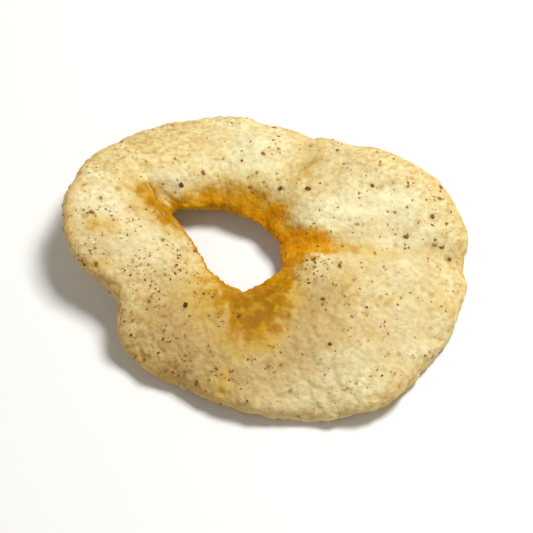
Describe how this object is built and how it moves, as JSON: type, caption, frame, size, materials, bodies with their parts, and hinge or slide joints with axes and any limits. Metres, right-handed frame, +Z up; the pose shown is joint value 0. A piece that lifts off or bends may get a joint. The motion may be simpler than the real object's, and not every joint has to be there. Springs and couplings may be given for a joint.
{
  "type": "dried apple ring",
  "caption": "Ring of dried apple, peeled and cored: puffed, warped flesh round a kite-shaped hole, amber at the core, with crumbs of ground spice stuck to its face.",
  "frame": {"origin": "middle of the ring's outline, on the surface that the ring lies on", "axes": "+Z up, out of the puffed face; +X across the ring's widest part; +Y away from the viewer of the picture"},
  "size_m": [0.0524, 0.0478, 0.0091],
  "materials": {
    "dried_flesh": "matt cream dried fruit flesh, amber and slightly glossy round the core"
  },
  "bodies": {
    "root": {"apple_ring": "dried_flesh"}
  },
  "joints": []
}
